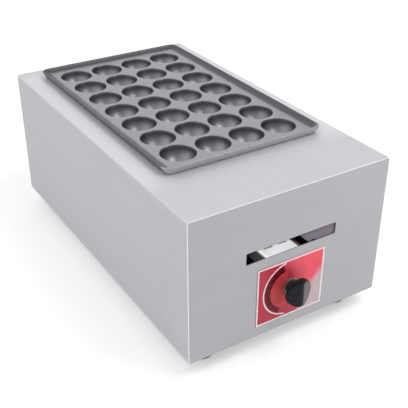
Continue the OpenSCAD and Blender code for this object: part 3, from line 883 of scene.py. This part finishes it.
class TAKO_OT_pan(bpy.types.Operator):
    """Build the cast pan with its cups, coved floor, flared rim and underside"""

    bl_idname = "tako.pan"
    bl_label = "Cast pan"

    def execute(self, context):
        look = settings("pan")
        size = PAN[1] - PAN[0]
        middle = (PAN[0] + PAN[1]) / 2
        columns = int(size.x / look.pitch)
        rows = int(size.y / look.pitch)
        floor_z = TOP_Z + look.floor
        under_z = TOP_Z - PLATE_UNDER
        centre = (size.x / 2 - RIM_REACH, size.y / 2 - RIM_REACH)
        maker = Rings()
        under = {}
        for i in range(columns):
            for j in range(rows):
                x = middle.x + (i - (columns - 1) / 2) * look.pitch
                y = middle.y + (j - (rows - 1) / 2) * look.pitch
                add_cup(maker, x, y, floor_z, look)
                for p in add_bump(maker, x, y, floor_z, under_z, look):
                    under[round(p[0] - middle.x, 6), round(p[1] - middle.y, 6)] = p[2]
        outline = grid_outline(columns, rows, look.pitch)
        wide, deep = columns * look.pitch / 2, rows * look.pitch / 2
        ring = maker.ring([(middle.x + x, middle.y + y, floor_z) for x, y in outline])
        for out, height in rim_stations(look):
            swept = [rim_point(x, y, wide, deep, centre, out) for x, y in outline]
            nxt = maker.ring([(middle.x + x, middle.y + y, TOP_Z + height) for x, y in swept])
            maker.bridge(ring, nxt)
            ring = nxt
        last = maker.ring([
            (middle.x + x, middle.y + y, under[round(x, 6), round(y, 6)]) for x, y in outline
        ])
        maker.bridge(ring, last)
        maker.points = roughen(maker.points, look.uneven, PAN[0], PAN[1])
        piece = maker.build("cast_pan", cast_iron(look))
        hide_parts("pan")
        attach(piece, "pan")
        return {"FINISHED"}


# ------------------------ sheet metal and burner


class TAKO_OT_casing(bpy.types.Operator):
    """Finish the bright stainless casing and its two end panels"""

    bl_idname = "tako.casing"
    bl_label = "Casing"

    def execute(self, context):
        look = settings("sheet")
        # The casing's top gets painted light, its front cut edge a painted highlight.
        top = brightening(look.lightened, look.cut)
        along = brushed_steel("casing_steel", look.steel, look.gloss, LENGTHWAYS, look.grain, top)
        # End panels in a darker copy of the steel: painted shade.
        across = brushed_steel("panel_steel", look.panel, look.gloss, CROSSWAYS, look.grain)
        finish_nodes("casing", along, look.edge)
        finish_nodes("front_panel back_panel", across, look.edge)
        return {"FINISHED"}


class TAKO_OT_inner(bpy.types.Operator):
    """Finish the bottom plate, shields, brackets, mixer and its shutter"""

    bl_idname = "tako.inner"
    bl_label = "Inner sheet"

    def execute(self, context):
        look = settings("sheet")
        tempered = heat_colours(60 * MM, TOP_Z)
        plain = brushed_steel("mill_steel", look.inner, 0.42, MILL, 0.3)
        hot = brushed_steel("tinted_steel", look.shield, 0.45, HEATED, 0.3, tempered)
        tube = brushed_steel("mixer_steel", look.inner, 0.4, DRAWN, 0.5)
        plain_nodes = "bottom_plate bracket_front bracket_rear air_shutter"
        finish_nodes(plain_nodes, plain)
        finish_nodes("heat_shield_left heat_shield_right", hot)
        finish_nodes("mixer_tube", tube)
        return {"FINISHED"}


class TAKO_OT_burner(bpy.types.Operator):
    """Finish the burner bar"""

    bl_idname = "tako.burner"
    bl_label = "Burner bar"

    def execute(self, context):
        finish_nodes("burner_bar", aluminised(settings("sheet")), FINE_EDGE)
        return {"FINISHED"}


# ------------------------ dial


PRINT_LIFT = 0.04 * MM  # thickness of one layer of print
FLAMES = 9
ARC_SWEEP = (98, 262)  # degrees round the dial, counted from the right and up over the top
SCALE_SWEEP = (104, 246)
FLAME_SWEEP = (113, 237)
ARC_STEPS = 72
SCALE_STEPS = 60
FLAME_STEPS = 12
FLAME_REACH = 25.8 * MM  # from the dial's middle to a flame's middle


def print_strip(name, inner, outer, material, closed=False, layers=1):
    """Thin printed shape on the plate between two rows of (x, z) points, layers thick."""
    face = PLATE[0].y
    lift = PRINT_LIFT * layers
    maker = Rings()

    def row(points, y):
        return maker.ring([(x, y, z) for x, z in points])

    rows = [row(inner, face - lift), row(outer, face - lift), row(outer, face), row(inner, face)]
    for i in range(4):
        maker.bridge(rows[i - 1], rows[i], closed)
    if not closed:
        for end in (0, -1):
            maker.faces.append(tuple(points[end] for points in rows))
    piece = maker.build(name, material, weld=1e-8)
    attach(piece, "base")


def arc_points(radius, sweep, steps):
    """(x, z) points round the dial; radius may be a number or a function of 0..1."""
    start, stop = sweep
    points = []
    for i in range(steps + 1):
        k = i / steps
        r = radius(k) if callable(radius) else radius
        a = math.radians(start + (stop - start) * k)
        points.append((DIAL[0] + r * math.cos(a), DIAL[1] + r * math.sin(a)))
    return points


def frame_points(inset, corner, steps=5):
    """Round-cornered rectangle set in from the plate's edge."""
    x0, x1 = PLATE[0].x + inset, PLATE[1].x - inset
    z0, z1 = PLATE[0].z + inset, PLATE[1].z - inset
    points = []
    for cx, cz, start in (
        (x1 - corner, z1 - corner, 0), (x0 + corner, z1 - corner, 90),
        (x0 + corner, z0 + corner, 180), (x1 - corner, z0 + corner, 270),
    ):
        for i in range(steps + 1):
            a = math.radians(start + 90 * i / steps)
            points.append((cx + corner * math.cos(a), cz + corner * math.sin(a)))
    return points


def flame_shape(angle, distance, size):
    """Left and right outline of a drop-shaped flame pointing away from the knob."""
    a = math.radians(angle)
    out = (math.cos(a), math.sin(a))
    side = (-out[1], out[0])
    left, right = [], []
    for i in range(FLAME_STEPS + 1):
        k = i / FLAME_STEPS
        width = 0.42 * math.sin(math.pi * k**0.62) * (1 - 0.35 * k)
        lean = 0.16 * math.sin(math.pi * k) * k
        for outline, sign in ((left, 1), (right, -1)):
            along = distance + size * (k - 0.5)
            across = size * (sign * width + lean)
            outline.append((
                DIAL[0] + out[0] * along + side[0] * across,
                DIAL[1] + out[1] * along + side[1] * across,
            ))
    return left, right


class TAKO_OT_dial(bpy.types.Operator):
    """Print the label plate with a border, an arc and a generic flame scale"""

    bl_idname = "tako.dial"
    bl_label = "Label plate"

    def execute(self, context):
        look = settings("dial")
        finish_nodes("label_plate", plate_ground(look), 0.1 * MM)
        white = printed_enamel("print_white", look.white, 0.4)
        dark = printed_enamel("print_dark", look.dark, 0.4)
        flame = printed_enamel("print_flame", look.flame, 0.4)
        warm = printed_enamel("print_warm", look.warm, 0.36)

        def under_arc(start, taper):
            """Radius start mm inside the arc, and taper mm less at the far end."""
            return lambda k: look.ring - (start - taper * k) * MM

        def band(name, inner, outer, sweep, steps, ink):
            print_strip(name, arc_points(inner, sweep, steps), arc_points(outer, sweep, steps), ink)

        inner_frame = frame_points(look.border, 0.8 * MM)
        outer_frame = frame_points(0.15 * MM, 1.3 * MM)
        print_strip("label_border", inner_frame, outer_frame, white, True)
        half = look.line / 2
        band("label_arc", look.ring - half, look.ring + half, ARC_SWEEP, ARC_STEPS, white)
        band("label_ring", 9.0 * MM, under_arc(10.0, 2.6), ARC_SWEEP, ARC_STEPS, warm)
        band("label_scale", under_arc(9.6, 2.8), look.ring - 1.4 * MM, SCALE_SWEEP, SCALE_STEPS, dark)
        first, last = FLAME_SWEEP
        for i in range(FLAMES):
            k = i / (FLAMES - 1)
            left, right = flame_shape(first + (last - first) * k, FLAME_REACH, (7.4 - 3.0 * k) * MM)
            print_strip(f"label_flame_{i + 1}", left, right, flame, layers=2)
        return {"FINISHED"}


class TAKO_OT_knob(bpy.types.Operator):
    """Finish the moulded knob"""

    bl_idname = "tako.knob"
    bl_label = "Knob"

    def execute(self, context):
        look = settings("dial")
        # The knob's right flat is painted grey as light.
        knob_black = moulded(
            "knob_black", look.black, 0.24, 900.0, 0.003 * MM, lit(look.paler),
            Specular_IOR_Level=0.12, Sheen_Weight=0.3, Sheen_Roughness=0.3,
        )
        finish_nodes("knob", knob_black, MOULD_EDGE, 3)
        return {"FINISHED"}


# ------------------------ gas parts, fasteners, feet


class TAKO_OT_gas(bpy.types.Operator):
    """Finish the valve, pipe, injector and inlet"""

    bl_idname = "tako.gas"
    bl_label = "Gas parts"

    def execute(self, context):
        look = settings("gas")
        brass = turned_metal("brass", look.brass, 0.34, 0.35)
        # Darker copy of the brass for the bonnet: painted shade.
        shaded_brass = turned_metal("shaded_brass", look.brass_shade, 0.4, 0.5)
        copper = turned_metal("copper", look.copper, 0.30, 0.45)
        brass_nodes = "valve_body valve_plug injector pipe_nut_front pipe_nut_rear inlet_fitting"
        finish_nodes(brass_nodes, brass)
        finish_nodes("valve_bonnet", shaded_brass)
        finish_nodes("gas_pipe", copper, 0.1 * MM)
        return {"FINISHED"}


class TAKO_OT_fasteners(bpy.types.Operator):
    """Finish the plated screws, nuts and stem"""

    bl_idname = "tako.fasteners"
    bl_label = "Fasteners"

    def execute(self, context):
        look = settings("gas")
        zinc = turned_metal("zinc", look.zinc, 0.36, 0.25)
        nuts = "valve_stem valve_nut inlet_locknut foot_nuts"
        screws = "bracket_screws bonnet_screws foot_screws bottom_screws shutter_screw"
        finish_nodes(nuts + " " + screws, zinc, FINE_EDGE)
        return {"FINISHED"}


class TAKO_OT_feet(bpy.types.Operator):
    """Finish the four rubber feet"""

    bl_idname = "tako.feet"
    bl_label = "Feet"

    def execute(self, context):
        look = settings("gas")
        rubber = moulded("foot_rubber", look.rubber, 0.62, 700.0, 0.04 * MM)
        feet = "foot_front_left foot_front_right foot_rear_left foot_rear_right"
        finish_nodes(feet, rubber, MOULD_EDGE, 3)
        return {"FINISHED"}


# ------------------------ the studio


def seen_directly(tree):
    """1 for rays from the camera and for what gloss and glass show, else 0."""
    path = tree.add("LightPath").outputs
    seen = tree.math("MAXIMUM", path["Is Camera Ray"], path["Is Glossy Ray"])
    return tree.math("MAXIMUM", seen, path["Is Transmission Ray"])


class TAKO_OT_stage(bpy.types.Operator):
    """Set up the camera, floor, lamps and surrounding light"""

    bl_idname = "tako.stage"
    bl_label = "Stage"

    def execute(self, context):
        look = settings("studio")
        self.camera(look)
        self.floor(look)
        self.lamps(look)
        self.surround(look)
        context.scene.view_settings.view_transform = "Standard"
        return {"FINISHED"}

    def camera(self, look):
        data = bpy.data.cameras.new("camera")
        data.sensor_width = 36.0
        data.lens = look.lens
        data.clip_start = 0.01
        ahead = Vector((
            math.sin(look.heading) * math.cos(look.tilt),
            math.cos(look.heading) * math.cos(look.tilt),
            -math.sin(look.tilt),
        ))
        bpy.context.scene.camera = self.hang(data, look.eye, ahead)

    def floor(self, look):
        half = 6.0
        maker = Rings()
        corners = ((-half, -half, 0), (half, -half, 0), (half, half, 0), (-half, half, 0))
        maker.faces.append(tuple(maker.ring(corners)))
        surface = Surface("floor_white", Roughness=0.7, Emission_Color=(1.0, 1.0, 1.0, 1.0))
        t = surface.tree
        tone = surface.use(mottle(), Scale=3.0)
        surface.set("Base Color", t.shades(tone["Value"], (look.floor,) * 3, 0.99, 1.0))
        away = t.add("VectorMath", {0: surface.place}, operation="LENGTH").outputs["Value"]
        near, far, dim, bright = 0.5, 2.5, 0.36, 0.66
        glow = t.spread(away, near, far, dim, bright)
        surface.set("Emission Strength", t.times(seen_directly(t), glow))
        floor = maker.build("floor", surface.material)

    def lamps(self, look):
        for name, place, aim, size, power in (
            ("lamp_over", (0.58, -0.70, 1.5), (0.0, 0.0, 0.15), 0.9, look.over),
            ("lamp_back", (1.0, 1.7, 1.35), (0.0, 0.0, 0.15), 1.6, look.back),
            ("lamp_front", (0.75, -1.25, 0.25), (0.0, -0.21, 0.12), 0.4, look.front),
            ("lamp_side", (-1.05, 0.0, 1.15), (0.0, 0.0, 0.15), 2.0, look.side),
        ):
            data = bpy.data.lights.new(name, "AREA")
            data.shape = "DISK"
            data.size = size
            data.energy = power
            self.hang(data, place, Vector(aim) - Vector(place))
        beam = bpy.data.lights.new("lamp_slot", "SPOT")
        beam.energy = look.slot
        beam.spot_size = math.radians(6.0)
        beam.spot_blend = 0.4
        beam.shadow_soft_size = 0.03
        place, slot_middle = Vector((-0.70, -1.035, 0.82)), Vector((0.01, -0.21, TOP_Z - 62 * MM))
        lamp = self.hang(beam, place, slot_middle - place)
        behind = bpy.data.collections.new("behind_slot")
        for node in ("burner_bar", "heat_shield_right"):
            behind.objects.link(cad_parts[node])
        lamp.light_linking.receiver_collection = behind

    def hang(self, data, place, ahead):
        """Places a camera or lamp and turns it to a direction."""
        hung = bpy.data.objects.new(data.name, data)
        aimed = ahead.to_track_quat("-Z", "Y").to_matrix().to_4x4()
        hung.matrix_world = Matrix.Translation(place) @ aimed
        bpy.context.scene.collection.objects.link(hung)
        return hung

    def surround(self, look):
        world = bpy.data.worlds.new("surround")
        bpy.context.scene.world = world
        world.use_nodes = True
        t = Tree(world.node_tree)
        backdrop = world.node_tree.nodes["Background"]
        backdrop.inputs["Color"].default_value = (1.0, 1.0, 1.0, 1.0)
        path = t.add("LightPath").outputs
        heading = t.add("SeparateXYZ", {"Vector": t.add("TexCoord").outputs["Generated"]}).outputs["Y"]
        in_front, behind = 0.35, 1.0
        mirrored = t.spread(heading, -0.2, 0.3, in_front, behind)
        shown = t.math("MAXIMUM", path["Is Camera Ray"], mirrored)
        t.feed(backdrop.inputs["Strength"], t.spread(seen_directly(t), 0.0, 1.0, look.sky, shown))


# ------------------------ panel and run


OPERATORS = (
    TAKO_OT_stage, TAKO_OT_casing, TAKO_OT_inner, TAKO_OT_burner, TAKO_OT_pan, TAKO_OT_dial,
    TAKO_OT_knob, TAKO_OT_gas, TAKO_OT_fasteners, TAKO_OT_feet,
)


class TAKO_PT_panel(bpy.types.Panel):
    """Settings and steps of the takoyaki maker"""

    bl_label = "Takoyaki maker"
    bl_space_type = "VIEW_3D"
    bl_region_type = "UI"
    bl_category = "Takoyaki"

    def draw(self, context):
        for name in SETTINGS:
            box = self.layout.box()
            look = getattr(context.scene, name)
            for key in look.__annotations__:
                box.prop(look, key)
        for operator in OPERATORS:
            self.layout.operator(operator.bl_idname)


CLASSES = (*SETTINGS.values(), *OPERATORS, TAKO_PT_panel)


def register():
    for made in CLASSES:
        bpy.utils.register_class(made)
    for name, group in SETTINGS.items():
        setattr(bpy.types.Scene, name, bpy.props.PointerProperty(type=group))


def unregister():
    for name in SETTINGS:
        delattr(bpy.types.Scene, name)
    for made in reversed(CLASSES):
        bpy.utils.unregister_class(made)


def main():
    register()
    for operator in OPERATORS:
        family, name = operator.bl_idname.split(".")
        getattr(getattr(bpy.ops, family), name)()


if __name__ == "__main__":
    main()
